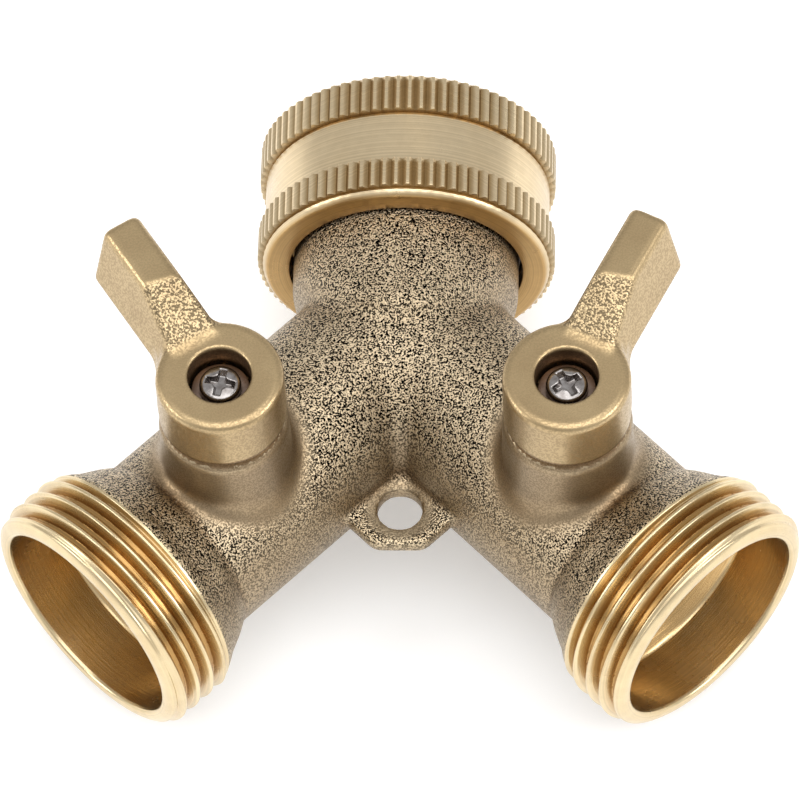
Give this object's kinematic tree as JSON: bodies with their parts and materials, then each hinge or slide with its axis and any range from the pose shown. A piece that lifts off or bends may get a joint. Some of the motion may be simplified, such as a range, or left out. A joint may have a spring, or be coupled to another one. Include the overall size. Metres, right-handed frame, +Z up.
{
  "type": "two-way garden hose splitter",
  "caption": "Y-shaped cast brass hose splitter: swivel inlet nut, two threaded outlets, each with a lever-operated ball valve, and a small hanging lug in the crotch.",
  "frame": {"origin": "centre of the bounding box's base, where the splitter lies on its back on the nut and the outlets", "axes": "+Z up along both valve stems, +Y out of the inlet nut, outlets point apart towards -Y, X across both outlets"},
  "size_m": [0.0794, 0.064, 0.0422],
  "materials": {
    "cast_brass": "sand-blasted satin casting",
    "turned_brass": "machined satin",
    "handle_brass": "tumbled satin casting",
    "plated_steel": "bright nickel plate",
    "spring_steel": "drawn wire",
    "chromed_brass": "polished chrome plate",
    "white_ptfe": "plain moulded",
    "black_rubber": "matt"
  },
  "bodies": {
    "casting": {"body": "cast_brass", "nut_retaining_ring": "spring_steel", "left_inner_seat": "white_ptfe", "left_outer_seat": "white_ptfe", "left_seat_retainer": "turned_brass", "right_inner_seat": "white_ptfe", "right_outer_seat": "white_ptfe", "right_seat_retainer": "turned_brass"},
    "nut": {"swivel_nut": "turned_brass", "inlet_washer": "black_rubber"},
    "left_valve": {"left_handle": "handle_brass", "left_handle_screw": "plated_steel", "left_screw_washer": "plated_steel", "left_stem": "turned_brass", "left_stem_o_ring_lower": "black_rubber", "left_stem_o_ring_upper": "black_rubber"},
    "right_valve": {"right_handle": "handle_brass", "right_handle_screw": "plated_steel", "right_screw_washer": "plated_steel", "right_stem": "turned_brass", "right_stem_o_ring_lower": "black_rubber", "right_stem_o_ring_upper": "black_rubber"},
    "left_ball_body": {"left_ball": "chromed_brass"},
    "right_ball_body": {"right_ball": "chromed_brass"}
  },
  "joints": [
    {"name": "nut_swivel", "type": "hinge", "parent": "casting", "child": "nut", "pos_m": [0, 0.02016, 0.01513], "axis": [0, 1, 0], "continuous": true},
    {"name": "left_valve_turn", "type": "hinge", "parent": "casting", "child": "left_valve", "pos_m": [-0.01679, -0.00899, 0.01513], "axis": [0, 0, 1], "range_deg": [-7.3, 90]},
    {"name": "right_valve_turn", "type": "hinge", "parent": "casting", "child": "right_valve", "pos_m": [0.01679, -0.00899, 0.01513], "axis": [0, 0, 1], "range_deg": [-97.3, 0]},
    {"name": "left_ball_turn", "type": "hinge", "parent": "casting", "child": "left_ball_body", "pos_m": [-0.01679, -0.00899, 0.01513], "axis": [0, 0, 1], "range_deg": [-7.3, 90]},
    {"name": "right_ball_turn", "type": "hinge", "parent": "casting", "child": "right_ball_body", "pos_m": [0.01679, -0.00899, 0.01513], "axis": [0, 0, 1], "range_deg": [-97.3, 0]}
  ],
  "couplings": [
    {"joint": "left_ball_turn", "follows": "left_valve_turn", "ratio": 1},
    {"joint": "right_ball_turn", "follows": "right_valve_turn", "ratio": 1}
  ]
}
